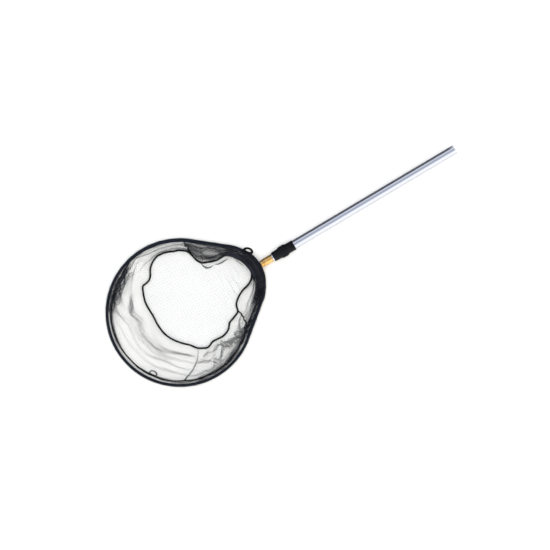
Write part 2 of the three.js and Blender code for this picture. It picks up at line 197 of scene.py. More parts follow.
def mouldedPlastic(name, colour, paler, roughness):
    # glass-filled nylon from a spark-eroded mould: matt, with slightly polished high spots and a grain
    # of 0.7 mm, coarser than real so that it shows
    return newMaterial(name, {
        "Base Color": rgb(colour), "Roughness": roughness, "Specular IOR Level": 0.14,
    }, {
        "fine": {"Scale": 1400.0, "Detail": 3.0}, "coarse": {"Scale": 60.0, "Detail": 4.0},
        "tint": [(0.35, colour), (0.75, paler)], "rough": (0.3, 0.7, roughness - 0.08, roughness + 0.1),
        "relief": (0.25, 0.0002),
    })


def twine(name, dark, pale, roughness, sheen):
    # twisted nylon or polyester twine: matt, with a little sheen and paler fibres of 0.4 mm, coarser
    # than real so that they show
    return newMaterial(name, {
        "Base Color": rgb(dark), "Roughness": roughness, "Sheen Weight": sheen, "Specular IOR Level": 0.08,
    }, {
        "fine": {"Scale": 2500.0, "Detail": 2.0}, "coarse": {"Scale": 25.0, "Detail": 3.0}, "share": 0.5,
        "tint": [(0.5, dark), (1.0, pale)], "relief": (0.3, 0.0001),
    })


blackNylon = mouldedPlastic("blackNylon", "#060709", "#14151A", 0.36)
greyNylon = mouldedPlastic("greyNylon", "#56595E", "#6C7076", 0.5)
seamTwine = twine("blackPolyesterTwine", "#040506", "#101114", 0.75, 0.03)
rimTwine = twine("darkNylonNetting", "#08090C", "#1A1B20", 0.6, 0.03)
bagTwine = twine("greyNylonNetting", "#101115", "#2E3037", 0.55, 0.05)
panelTwine = twine("paleNylonNetting", "#6A6C74", "#8E9098", 0.5, 0.05)
print("materials ready")


def turnPiece(name, outline, steps):
    # outline: (x, radius) in mm, drawn vertex by vertex, then spun about the pole's axis
    deselectAll()
    x, radius = outline[0]
    bpy.ops.mesh.primitive_plane_add(size=mm, location=(x * mm, 0, (axisZ + radius) * mm))
    piece = bpy.context.object
    piece.name = name
    bpy.ops.object.transform_apply(location=True, rotation=True, scale=True)
    setMode("EDIT")
    bpy.ops.mesh.merge(type="CENTER")
    for (x0, r0), (x1, r1) in zip(outline, outline[1:]):
        step = ((x1 - x0) * mm, 0, (r1 - r0) * mm)
        bpy.ops.mesh.extrude_region_move(TRANSFORM_OT_translate={"value": step})
    bpy.ops.mesh.select_all(action="SELECT")
    bpy.ops.mesh.spin(steps=steps, angle=math.tau, center=(0, 0, axisZ * mm), axis=(1, 0, 0))
    faceOut(35, merge=True)
    return piece


def nodeSpan(node):
    low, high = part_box(node)
    return low.x / mm, high.x / mm, (high.z - low.z) / mm / 2


def makeTube(node, body, tube):
    # drawn tube with its rims broken by a deburring tool; the bore's rear edge only where wanted
    x0, x1, radius = nodeSpan(node)
    bore = radius - tube["wall"]
    d = tube["deburr"]
    outline = [(x0, bore), (x0, radius - d), (x0 + d, radius), (x1 - d, radius), (x1, radius - d)]
    outline += [(x1, bore + d), (x1 - d, bore)] if tube["reamed"] else [(x1, bore)]
    piece = turnPiece(node + "_skin", outline + [(x0, bore)], 96)
    return finishPiece(piece, body, "anodised_tube", aluminium, node)


makeTube("outer_tube", "pole", {"wall": 1.3, "deburr": 0.25, "reamed": True})
makeTube("inner_tube", "inner_pole", {"wall": 1.2, "deburr": 0.2, "reamed": False})
print("tubes turned")


def grooveRing(x, radius, cut):
    # outline points of a groove cut round a turned piece
    end = x + cut["grooveWidth"]
    floor = radius - cut["grooveDepth"]
    return [(x, radius), (x + cut["grooveEase"], floor), (end - cut["grooveEase"], floor), (end, radius)]


def makeLockBody():
    x0, x1, radius = nodeSpan("lock_body")
    body = {"bore": 12.9, "neck": 13.9, "clear": 0.4, "round": 0.5, "grooves": (9.5, 12.5, 15.5),
            "grooveDepth": 0.35, "grooveWidth": 1.1, "grooveEase": 0.2,
            "stopRear": -0.4, "stopFront": -4, "stopBore": 11.1, "neckBore": 12.5}
    r = body["round"]
    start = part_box("lock_nut")[1].x / mm + body["clear"]
    outline = [(body["stopRear"], body["bore"]), (body["stopRear"], body["stopBore"]),
               (body["stopFront"], body["stopBore"]), (body["stopFront"], body["neckBore"]),
               (x0, body["neckBore"]), (x0, body["neck"]),
               (start, body["neck"]), (start, radius - r), (start + r, radius)]
    for at in body["grooves"]:
        outline += grooveRing(start + at, radius, body)
    outline += [(x1 - r, radius), (x1, radius - r), (x1, body["bore"]), (body["stopRear"], body["bore"])]
    piece = turnPiece("lock_body_moulded", outline, 72)
    return finishPiece(piece, "pole", "black_plastic", blackNylon, "lock_body")


def makeLockNut():
    # ribbed grip at the rear, waisted nose at the front
    x0, x1, radius = nodeSpan("lock_nut")
    nut = {"ribs": 24, "ribHeight": 0.7, "gripFront": x1 - 22, "bore": 14.25, "noseRadius": 13.0,
           "waistRadius": 13.9, "tubeBore": 11.05, "colletBore": 12.5, "coneBore": 12.1, "coneRear": -15.6,
           "ribFront": 2.4, "ribRear": 3.2, "ribRound": 0.2}
    grip = radius - nut["ribHeight"]
    nose = nut["noseRadius"]
    waist = nut["waistRadius"]
    front = nut["gripFront"]
    ribFront = front + nut["ribFront"]
    ribRear = x1 - nut["ribRear"]
    lip = x0 + 2.6  # behind the nose's inner lip
    outline = [(x0, nut["tubeBore"]), (x0, nose - 0.6), (x0 + 0.6, nose), (x0 + 3, nose),
               (x0 + 4, nose + 0.35), (front - 3, waist), (front - 1.2, waist + 0.3),
               (front, grip - 0.9), (front + 1.4, grip - 0.1), (ribFront, grip), (ribRear, grip),
               (x1 - 2.2, grip - 0.1), (x1 - 0.8, grip - 0.7), (x1, grip - 1.4), (x1, nut["bore"]),
               (nut["coneRear"], nut["bore"]), (nut["coneRear"], nut["colletBore"]),
               (lip, nut["coneBore"]), (lip, nut["tubeBore"]), (x0, nut["tubeBore"])]
    piece = turnPiece("lock_nut_moulded", outline, nut["ribs"] * 4)
    pitch = 360 / nut["ribs"]
    editPiece(piece, "DESELECT")
    setMode("OBJECT")
    for face in piece.data.polygons:
        x, y, z = face.center / mm
        turn = math.degrees(math.atan2(z - axisZ, y)) % 360
        onGrip = ribFront < x < ribRear and math.hypot(y, z - axisZ) > grip - 0.3
        face.select = bool(onGrip and turn % pitch < pitch / 2)
    setMode("EDIT")
    bpy.ops.mesh.extrude_region_shrink_fatten(TRANSFORM_OT_shrink_fatten={"value": nut["ribHeight"] * mm})
    faceOut()
    bevel = piece.modifiers.new("round_ribs", "BEVEL")
    bevel.width = nut["ribRound"] * mm
    bevel.segments = 2
    bevel.limit_method = "ANGLE"
    bevel.angle_limit = math.radians(40)
    bpy.ops.object.modifier_apply(modifier=bevel.name)
    bpy.ops.object.shade_smooth_by_angle(angle=math.radians(35))
    return finishPiece(piece, "lock_nut", "black_plastic", blackNylon, "lock_nut")


def makeFerrule():
    x0, x1, radius = nodeSpan("brass_ferrule")
    neckEnd = x0 + 7
    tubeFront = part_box("inner_tube")[0].x / mm - 0.4
    ferrule = {"neck": radius - 1.1, "bore": 5.2, "boreEnd": x0 + 17.5, "spigot": 9.1, "spigotBore": 6.5,
               "floorEnd": x0 + 20.1, "chamfer": 0.6,
               "grooves": (3.4, 5.4), "grooveWidth": 1.0, "grooveEase": 0.3, "grooveDepth": 0.35}
    c = ferrule["chamfer"]
    outline = [(ferrule["boreEnd"], 0), (ferrule["boreEnd"], ferrule["bore"]), (x0, ferrule["bore"]),
               (x0, ferrule["neck"] - c), (x0 + c, ferrule["neck"]), (neckEnd - 0.8, ferrule["neck"]),
               (neckEnd, ferrule["neck"] + 0.25), (neckEnd + 1.1, radius)]
    for at in ferrule["grooves"]:
        outline += grooveRing(neckEnd + at, radius, ferrule)
    outline += [(tubeFront - c, radius), (tubeFront, radius - c), (tubeFront, ferrule["spigot"]),
                (x1 - c, ferrule["spigot"]), (x1, ferrule["spigot"] - c), (x1, ferrule["spigotBore"]),
                (ferrule["floorEnd"], ferrule["spigotBore"]), (ferrule["floorEnd"], 0)]
    piece = turnPiece("brass_ferrule_turned", outline, 72)
    return finishPiece(piece, "inner_pole", "turned_brass", brass, "brass_ferrule")


def makeStud():
    # a plain rod in the yoke, with a rolled thread on the part that screws into the ferrule
    x0, x1, radius = nodeSpan("thread_stud")
    stud = {"pitch": 1.5, "depth": 0.55, "perTurn": 24, "plain": 16.5, "chamfer": 1.0, "crest": 0.62}
    core = radius - stud["depth"]
    start = x0 + stud["plain"]
    outline = [(x0, 0), (x0, radius), (start, radius), (start + 0.6, core), (x1 - stud["chamfer"], core),
               (x1, core - 0.5), (x1, 0)]
    piece = turnPiece("thread_stud_rod", outline, 48)
    finishPiece(piece, "stud", "steel", steel, "thread_stud")
    # one V-shaped turn of thread at the rod's surface, swept along the rod by a screw modifier
    deselectAll()
    bpy.ops.mesh.primitive_circle_add(vertices=3, radius=stud["crest"] * mm, rotation=(math.pi / 2, 0, 0),
                                      location=(start * mm, 0, core * mm))
    thread = bpy.context.object
    thread.name = "thread_stud_thread"
    bpy.ops.object.transform_apply(location=True, rotation=True, scale=True)
    sweep = thread.modifiers.new("helix", "SCREW")
    sweep.axis = "X"
    sweep.steps = sweep.render_steps = stud["perTurn"]
    sweep.screw_offset = stud["pitch"] * mm
    sweep.iterations = int((x1 - stud["chamfer"] - start - 1.5) / stud["pitch"])
    bpy.ops.object.modifier_apply(modifier=sweep.name)
    setMode("EDIT")
    bpy.ops.mesh.select_all(action="SELECT")
    bpy.ops.mesh.fill_holes(sides=4)
    bpy.ops.transform.translate(value=(1.0 * mm, 0, axisZ * mm))
    faceOut()
    return finishPiece(thread, "stud", "steel", steel)


def makeButtPlug():
    x0, x1, radius = nodeSpan("butt_plug")
    plug = {"wall": 2.4, "recess": 10, "round": 0.8, "dish": 4.0}
    r = plug["round"]
    outline = [(x1 - 0.6, 0), (x1 - 0.6, plug["dish"]), (x1, plug["dish"] + 0.8), (x1, radius - r),
               (x1 - r, radius), (x0 + r, radius), (x0, radius - r), (x0, radius - plug["wall"]),
               (x0 + plug["recess"], radius - plug["wall"]), (x0 + plug["recess"], 0)]
    piece = turnPiece("butt_plug_moulded", outline, 64)
    return finishPiece(piece, "pole", "black_plastic", blackNylon, "butt_plug")


makeLockBody()
makeLockNut()
makeFerrule()
makeStud()
makeButtPlug()
print("lock, ferrule and stud turned")

# small pieces that keep their own shape
for node, material in {
    "collet": greyNylon, "tail_bush": greyNylon, "yoke": blackNylon,
    "yoke_rivet_left": steel, "yoke_rivet_right": steel,
}.items():
    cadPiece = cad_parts[node]
    cadPiece.data.materials.clear()
    cadPiece.data.materials.append(material)

# the hoop's outline and the course of the bag's seam, in mm and degrees, as in the CAD part
hoop = {"bowRadius": 202, "noseRadius": 116, "noseOffset": 136, "bowCentreX": -329,
        "rodInset": 6.2, "rodRadius": 4, "seamInset": 17.5,
        "bagTopInset": 20.6, "gatherInset": 27.2, "gatherHalfWidth": 34.4, "gatherBlend": 4, "bagSteps": 84}

panelSeamCourse = [
    (2, 0.965), (9, 0.965), (15, 0.965), (19.5, 0.96), (22, 0.91), (24.5, 0.846),
    (29.5, 0.808), (35.5, 0.779), (41, 0.8), (47.5, 0.863), (52, 0.908), (55.5, 0.92),
    (59.5, 0.927), (65, 0.915), (70.5, 0.918), (77, 0.915), (83, 0.89), (88.5, 0.845),
    (93.5, 0.785), (99.5, 0.687), (107, 0.66), (113.5, 0.677), (119, 0.637), (131, 0.55),
    (142, 0.472), (155, 0.407), (180, 0.377), (206, 0.392), (224, 0.413), (239, 0.444),
    (256, 0.504), (265, 0.582), (272, 0.627), (278, 0.663), (288, 0.65), (295.5, 0.692),
    (301.5, 0.733), (309.5, 0.76), (318, 0.745), (324, 0.776), (330.5, 0.8), (337.5, 0.744),
    (344.5, 0.756), (349, 0.824), (351.5, 0.895), (355.5, 0.96),
]


@np.vectorize
def outlineReach(angle, inset):
    # from the bow's centre to the hoop's outline, less an inset square to it
    turn = abs(math.atan2(math.sin(angle), math.cos(angle)))
    legTurn = math.acos((hoop["bowRadius"] - hoop["noseRadius"]) / hoop["noseOffset"])
    nose = hoop["noseRadius"] - inset
    noseEnd = math.atan2(nose * math.sin(legTurn), hoop["noseOffset"] + nose * math.cos(legTurn))
    if turn <= noseEnd:
        across = hoop["noseOffset"] * math.sin(turn)
        return hoop["noseOffset"] * math.cos(turn) + math.sqrt(nose ** 2 - across ** 2)
    bow = hoop["bowRadius"] - inset
    return bow / math.cos(turn - legTurn) if turn <= legTurn else bow


def smooth(x, low, high):
    t = np.clip((x - low) / (high - low), 0, 1)
    return t * t * (3 - 2 * t)


def byAngle(table, theta):
    return np.interp(theta, angles, table, period=math.tau)


def bump(theta, middle, halfWidth):
    # 1 at the middle angle, fading to 0, all in degrees
    away = (np.degrees(theta) - middle + 180) % 360 - 180
    return np.exp(-(away / halfWidth) ** 2)


def plateau(theta, low, high, blend):
    # 1 between two angles in degrees, with soft ends
    away = np.abs((np.degrees(theta) - (low + high) / 2 + 180) % 360 - 180)
    return 1 - smooth(away, (high - low) / 2 - blend / 2, (high - low) / 2 + blend / 2)


def bagTopReach(angle):
    turn = abs(math.atan2(math.sin(angle), math.cos(angle)))
    gatherEnd = math.atan2(hoop["gatherHalfWidth"], outlineReach(0, hoop["gatherInset"]))
    gatherEnd += math.tau / hoop["bagSteps"]
    share = smooth(turn - gatherEnd, 0, math.radians(hoop["gatherBlend"]))
    return outlineReach(angle, hoop["gatherInset"] + (hoop["bagTopInset"] - hoop["gatherInset"]) * share)


def roundBow(angle, reach, z):
    # points by their angle and distance from the bow's centre
    x = hoop["bowCentreX"] + reach * np.cos(angle)
    return np.stack(np.broadcast_arrays(x, reach * np.sin(angle), z), -1)


def blend(a, b, low, high, t):
    return ((high - t) * a + (t - low) * b) / (high - low)


def closedCurve(points, perSpan):
    # centripetal Catmull-Rom curve through a closed list of points
    out = []
    for i in range(len(points)):
        p = [points[(i + k) % len(points)] for k in (-1, 0, 1, 2)]
        t = [0.0]
        for a, b in zip(p, p[1:]):
            t.append(t[-1] + max(np.linalg.norm(b - a), 1e-6) ** 0.5)
        for u in np.linspace(t[1], t[2], perSpan, endpoint=False):
            a = [blend(p[k], p[k + 1], t[k], t[k + 1], u) for k in range(3)]
            b = [blend(a[k], a[k + 1], t[k], t[k + 2], u) for k in range(2)]
            out.append(blend(b[0], b[1], t[1], t[2], u))
    return np.array(out)


coursePoints = [roundBow(math.radians(d), share * bagTopReach(math.radians(d)), 0)
                for d, share in panelSeamCourse]
seamCurve = closedCurve(coursePoints, 16)

# everything round the hoop is tabled by angle, half a degree apart
angles = np.radians(np.arange(0, 360, 0.5))
seamAngles = np.arctan2(seamCurve[:, 1], seamCurve[:, 0] - hoop["bowCentreX"]) % math.tau
order = np.argsort(seamAngles)
seamDistance = np.hypot(seamCurve[:, 0] - hoop["bowCentreX"], seamCurve[:, 1])
seamReach = np.interp(angles, seamAngles[order], seamDistance[order], period=math.tau)
# along one leg the rim seam is rolled in under the rod, by this much (mm)
roll = {"from": 20, "to": 110, "blend": 18, "outward": 8.3, "seamDrop": 6.1, "netDrop": 6.0}
seamRoll = plateau(angles, roll["from"], roll["to"], roll["blend"])
seamInsets = hoop["seamInset"] - roll["outward"] * seamRoll
rimReach = outlineReach(angles, seamInsets)
rodReach = outlineReach(angles, hoop["rodInset"])


def lengthRound(reach):
    x = reach * np.cos(angles)
    y = reach * np.sin(angles)
    steps = np.hypot(np.diff(np.append(x, x[0])), np.diff(np.append(y, y[0])))
    return np.concatenate([[0], np.cumsum(steps)])


netRound = (lengthRound(rimReach) + lengthRound(seamReach)) / 2
print("rim seam %.0f mm, panel seam %.0f mm" % (lengthRound(rimReach)[-1], lengthRound(seamReach)[-1]))


def crossAxes(points, closed):
    # two directions square to the path at each point, the first one level
    if closed:
        along = np.roll(points, -1, 0) - np.roll(points, 1, 0)
    else:
        along = np.gradient(points, axis=0)
    along /= np.maximum(np.linalg.norm(along, axis=1, keepdims=True), 1e-9)
    side = np.cross(along, [0, 0, 1.0])
    steep = np.linalg.norm(side, axis=1) < 0.15
    side[steep] = np.cross(along[steep], [1.0, 0, 0])
    side /= np.linalg.norm(side, axis=1, keepdims=True)
    return side, np.cross(side, along)


def tubesMesh(name, paths, closed=False):
    # one tube along each path: points and radius in mm, sides, and for a rope its twist per mm and lobes
    vertices = []
    faces = []
    base = 0
    for path in paths:
        points = np.asarray(path["points"], float)
        count = len(points)
        if count < 2:
            continue
        side, up = crossAxes(points, closed)
        sides = path.get("sides", 3)
        turn = math.tau * np.arange(sides) / sides
        radii = np.broadcast_to(path["radius"], (count,))[:, None]
        run = np.concatenate([[0], np.cumsum(np.linalg.norm(np.diff(points, axis=0), axis=1))])
        lay = path.get("twist", 0) * run[:, None]
        depth = path.get("lobeDepth", 0)
        swell = 1 - depth * np.abs(np.sin(path.get("lobes", 3) / 2 * (turn[None] - lay)))
        ring = radii * swell
        verts = (points[:, None] + ring[..., None] * (np.cos(turn)[None, :, None] * side[:, None]
                 + np.sin(turn)[None, :, None] * up[:, None]))
        vertices.append(verts.reshape(-1, 3))
        row = np.arange(count if closed else count - 1)[:, None] * sides
        i = row + np.arange(sides)
        iNext = row + (np.arange(sides) + 1) % sides
        j, jNext = (i + sides) % (count * sides), (iNext + sides) % (count * sides)
        faces += (base + np.stack([i, j, jNext, iNext], -1).reshape(-1, 4)).tolist()
        if not closed:
            ends = base + np.arange(sides), base + (count - 1) * sides + np.arange(sides)[::-1]
            faces += [end.tolist() for end in ends]
        base += count * sides
    piece = newPiece(name, vertices, faces)
    piece.data.polygons.foreach_set("use_smooth", [True] * len(piece.data.polygons))
    return piece


def resample(points, step, closed=False):
    points = np.asarray(points, float)
    if closed:
        points = np.vstack([points, points[:1]])
    run = np.concatenate([[0], np.cumsum(np.linalg.norm(np.diff(points, axis=0), axis=1))])
    count = max(int(round(run[-1] / step)), 2)
    at = np.linspace(0, run[-1], count + 1)
    out = np.stack([np.interp(at, run, points[:, k]) for k in range(3)], 1)
    return out[:-1] if closed else out


def softNoise(seed, x, cycles):
    # smooth periodic wobble of an angle, between about -1 and 1
    draw = random.Random(seed)
    total = np.zeros_like(x)
    for k in range(1, cycles + 1):
        total = total + draw.uniform(0.3, 1) * np.sin(k * x + draw.uniform(0, 6.28))
    return total / math.sqrt(cycles)


def whipping(path, cord):
    # a thread wound round a closed cord
    points = resample(path, cord["whipPitch"] / 8, closed=True)
    side, up = crossAxes(points, closed=True)
    turn = math.tau * np.arange(len(points)) / 8
    wobble = 1 + 0.06 * softNoise(cord["seed"], math.tau * np.arange(len(points)) / len(points), 40)
    reach = ((cord["radius"] + cord["whipLift"]) * wobble)[:, None]
    return {"points": points + reach * (np.cos(turn)[:, None] * side + np.sin(turn)[:, None] * up),
            "radius": cord["threadRadius"], "sides": 4}


def laidRope(path, cord):
    # a three-stranded cord along a closed path
    return {"points": resample(path, cord["step"], closed=True), "radius": cord["radius"], "sides": 12,
            "twist": math.tau / cord["layLength"], "lobes": 3, "lobeDepth": cord["lobeDepth"]}


def sewnCord(node, path, cord):
    seam = tubesMesh(node + "_cord", [laidRope(path, cord), whipping(path, cord)], closed=True)
    return finishPiece(seam, "head", "black_cord", seamTwine, node)


def makeHoopRod():
    # the rod's centre line as a curve with a round bevel; its two ends stop inside the yoke
    path = resample(roundBow(angles, rodReach, axisZ), 4, closed=True)
    keep = ~((path[:, 0] > hoop["bowCentreX"] + hoop["noseOffset"]) & (np.abs(path[:, 1]) < 9))
    start = int(np.argmax(keep & ~np.roll(keep, 1)))
    path = np.roll(path, -start, 0)[:int(keep.sum())]
    deselectAll()
    bpy.ops.curve.primitive_nurbs_path_add(location=(0, 0, 0))
    rod = bpy.context.object
    rod.name = "hoop_rod_bent"
    rod.data.splines.clear()
    line = rod.data.splines.new("POLY")
    line.points.add(len(path) - 1)
    line.points.foreach_set("co", np.column_stack([path * mm, np.ones(len(path))]).ravel())
    rod.data.bevel_depth = hoop["rodRadius"] * mm
    rod.data.bevel_resolution = 6
    rod.data.use_fill_caps = True
    bpy.ops.object.convert(target="MESH")
    rod = bpy.context.object
    setMode("EDIT")
    faceOut(40, merge=True)
    return finishPiece(rod, "head", "coated_rod", coatedRod, "hoop_rod")


def makePanelSeam():
    cord = {"radius": 2.5, "step": 1.0, "layLength": 15.0, "lobeDepth": 0.28, "whipPitch": 6.0,
            "whipLift": 0.25, "threadRadius": 0.6, "seed": 3, "tuck": 4.0}
    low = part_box("panel_seam")[0].z / mm
    tuck = cord["tuck"] * plateau(angles, -3, 17, 8)
    path = roundBow(angles, seamReach + tuck + 0.5 * softNoise(9, angles, 60), low + cord["radius"] + 1.0)
    path[:, 2] += 0.5 * (1 + softNoise(5, angles, 9)) * 0.6
    return sewnCord("panel_seam", path, cord)


makeHoopRod()
makePanelSeam()
print("rod and panel seam laid")


def netStrands(length, across, net, place, closed=False, keep=None):
    # diagonal netting over a strip of this length and width; place(a, b) gives points in mm, and
    # keep(points) says which of them to keep
    knot = 1.7  # thickness at a crossing
    pitch = length / max(round(length / (net["meshSide"] * math.sqrt(2))), 1)
    count = int(round(length / pitch))
    step = pitch / 4
    reach = int(math.ceil(across / step))
    run = np.arange(reach + 1) * step
    extra = 0 if closed else int(math.ceil(across / pitch))
    strands = []
    for lean in (1, -1):
        for k in range(-extra, count + extra + 1 - int(closed)):
            a = k * pitch + lean * run
            inside = run <= across
            if not closed:
                inside &= (a >= 0) & (a <= length)
            if inside.sum() < 2:
                continue
            rows = np.flatnonzero(inside)
            points = place(a[rows] % length if closed else a[rows], run[rows])
            swell = np.where(rows % 2 == 0, knot, 1.0) * net["strandRadius"]
            good = np.ones(len(rows), bool) if keep is None else keep(points)
            edges = np.flatnonzero(np.diff(np.concatenate([[0], good.astype(int), [0]])))
            for low, high in zip(edges[::2], edges[1::2]):
                if high - low > 1:
                    strands.append({"points": points[low:high], "radius": swell[low:high]})
    return strands


bag = {"depth": 128, "meshSide": 4.4, "strandRadius": 0.14, "foldPitch": 5.3,
       "topZ": axisZ - 0.6, "lowZ": 2.0, "highest": 21, "lowest": 0.5, "rimGap": 1.5, "seamGap": 1.6,
       "slackTurns": 2.6, "slackReach": 0.26, "slackHeight": 3.2, "seed": 11}

# folds that lie along the wall: how many, and the ranges of their middle (degrees round the hoop), half
# width (degrees), drift (mm a degree), width (mm) and size
foldDraw = random.Random(bag["seed"])
foldZones = [
    (26, (104, 298), (8, 28), 0.7, (3, 6), (0.7, 1.1)),
    (34, (254, 342), (5, 13), 2.4, (5, 10), (0.8, 1.35)),
    (12, (108, 152), (5, 12), 2.2, (4, 8), (0.9, 1.4)),
]
# the longest ones: course as (angle, mm down the wall from the rim), then width and size
longFolds = [
    ([(128, 104), (136, 97), (155, 82), (175, 75), (200, 79), (226, 87), (258, 96)], 11, 1.3),
    ([(132, 52), (144, 46), (173, 46), (193, 44), (220, 54), (247, 43)], 9, 1.2),
    ([(140, 110), (175, 92), (226, 101), (255, 106)], 6, 1.0),
    ([(160, 22), (200, 28), (240, 24)], 7, 1.1),
    ([(150, 62), (175, 60), (200, 63), (235, 68), (262, 72)], 7, 1.1),
    ([(262, 79), (272, 62), (280, 37), (290, 63), (299, 101), (306, 83), (314, 60)], 9, 1.6),
    ([(268, 30), (284, 60), (296, 84), (312, 40)], 7, 1.4),
    ([(250, 20), (262, 34), (276, 16)], 7, 1.3),
    ([(96, 20), (112, 44), (126, 30), (142, 52)], 7, 1.4),
]
folds = []
for count, middle, halfWidth, drift, width, size in foldZones:
    for _ in range(count):
        folds.append({
            "middle": foldDraw.uniform(*middle), "halfWidth": foldDraw.uniform(*halfWidth),
            "at": foldDraw.uniform(12, 114), "drift": foldDraw.uniform(-drift, drift),
            "width": foldDraw.uniform(*width), "size": foldDraw.uniform(*size)})


def wallPlace(a, b, phase=0.0, lift=0.0, folding=1.0):
    # points of the wall, by the length round it and the way down it from the rim
    theta = np.interp(a, netRound, np.append(angles, math.tau))
    s = b / bag["depth"]
    outer = byAngle(rimReach, theta) - bag["rimGap"]
    inner = byAngle(seamReach, theta) + bag["seamGap"]
    gap = outer - inner
    rimBunch = (1.1 * plateau(theta, 92, 152, 24) + 0.9 * plateau(theta, 296, 352, 16)
                + 0.4 * bump(theta, 262, 14))
    share = s ** (1 + 1.3 * rimBunch)
    slack = plateau(theta, 17, 60, 6) + 0.35 * plateau(theta, 62, 96, 12)
    edge = np.sin(math.pi * s)
    wander = (0.9 * np.sin(3 * theta + 1) + 0.7 * np.sin(11 * theta + 2 + phase)
              + 0.4 * np.sin(23 * theta) + phase)
    swing = math.tau * bag["slackTurns"] * s + wander
    waves = slack * bag["slackReach"] * gap * np.sin(swing) * edge
    rimWaves = rimBunch * 8 * np.sin(math.tau * 5 * s + 2.2 * wander) * edge * np.exp(-2.5 * s)
    fine = 1.3 * np.sin(37 * theta + 5 * s + phase) * np.sin(9 * s + 17 * theta) * edge
    fold = np.zeros_like(s)
    loft = np.zeros_like(s)
    ripple = np.sin(math.tau * b / bag["foldPitch"] + wander)
    for line in folds:
        away = (np.degrees(theta) - line["middle"] + 180) % 360 - 180
        x = (b - line["at"] - line["drift"] * away) / line["width"]
        near = line["size"] * np.exp(-(away / line["halfWidth"]) ** 2 - x * x / 2)
        fold = fold + near * (0.85 * line["width"] * x + 1.6 * ripple)
        loft = loft + 1.2 * near
    for course, width, size in longFolds:
        courseAngles, courseDepth = np.array(course).T
        x = (b - np.interp(np.degrees(theta), courseAngles, courseDepth)) / width
        near = size * plateau(theta, courseAngles[0], courseAngles[-1], 16) * np.exp(-x * x / 2)
        fold = fold + near * (0.85 * width * x + 2.0 * ripple)
        loft = loft + 1.8 * near
    fold = folding * fold * smooth(s, 0.02, 0.12) * (1 - smooth(s, 0.88, 0.98))
    reach = outer - gap * share + fold + waves + rimWaves + fine
    reach = np.minimum(reach, outer + 1.2)
    top = bag["topZ"] - roll["netDrop"] * byAngle(seamRoll, theta)
    z = bag["lowZ"] + (top - bag["lowZ"]) * (1 - s) ** 1.5
    z = z + (loft + slack * bag["slackHeight"] * np.cos(swing + 0.6) + lift) * edge
    z = z + 0.8 * np.sin(29 * theta + 11 * s) * edge
    return roundBow(theta, reach, np.clip(z, bag["lowest"], bag["highest"]))


def roundAt(degrees):
    # length round the wall at an angle
    return float(np.interp(math.radians(degrees), angles, netRound[:-1]))


def makeBagWall():
    strands = netStrands(netRound[-1], bag["depth"], bag, wallPlace, closed=True)
    wall = tubesMesh("bag_wall_netting", strands)
    return finishPiece(wall, "head", "bag_netting", bagTwine, "bag_wall")


def makeFlap():
    # spare netting folded over itself where the panel's seam is pulled up against the hoop; its far
    # end slants from the first angle at the rim to the second at the panel
    flap = {"from": 17.5, "to": (57.5, 49), "meshSide": 4.4, "strandRadius": 0.13,
            "layers": ((1.1, 1.5), (2.6, 3.0)), "creaseThreads": 6, "pleat": 30.0, "gathering": 1.9}
    start = roundAt(flap["from"])
    length = roundAt(flap["to"][0]) - start
    slant = (roundAt(flap["to"][0]) - roundAt(flap["to"][1])) / bag["depth"]
    strands = []
    for phase, lift in flap["layers"]:
        def place(a, b):
            # pleats along the flap draw the strands into dark and light lines
            swing = np.sin(math.tau * b / flap["pleat"] + a / 16 + phase)
            swing = swing * np.sin(math.pi * b / bag["depth"]) ** 0.5
            drawn = np.clip(b + flap["gathering"] * flap["pleat"] / math.tau * swing, 0, bag["depth"])
            return wallPlace(start + a * (1 - b * slant / length), drawn, phase, lift)

        strands += netStrands(length, bag["depth"] * 0.98, flap, place)
    b = np.linspace(1, bag["depth"] - 1, 80)
    for k in range(flap["creaseThreads"]):
        a = start + length - b * slant + 0.8 * (k - 3) + 0.6 * np.sin(b / 5 + k)
        strands.append({"points": wallPlace(a, b, lift=2.0 + 0.4 * k), "radius": 0.5, "sides": 5})
    layers = tubesMesh("bag_flap_netting", strands)
    return finishPiece(layers, "head", "bag_netting", bagTwine)


def makeSideSeams():
    # where the ends of the wall's netting are joined, from the rim (first angle) to the panel
    seams = [{"angles": (243, 266), "radii": (0.8, 0.16)}, {"angles": (311.5, 330.5), "radii": (0.9, 0.9)}]
    spread = 1.8
    runs = []
    for seam in seams:
        b = np.linspace(1, bag["depth"] - 1, 110)
        line = np.interp(b, [0, bag["depth"]], [roundAt(angle) for angle in seam["angles"]])
        radii = np.interp(b, [0, bag["depth"]], seam["radii"])
        for side in (-0.5, 0.5):
            points = wallPlace(line + side * spread + 0.5 * np.sin(b * 1.3 + side), b, folding=0.35)
            points[:, 2] += 0.5
            runs.append({"points": points, "radius": radii, "sides": 6})
    pieces = tubesMesh("bag_side_seams", runs)
    return finishPiece(pieces, "head", "black_cord", seamTwine)


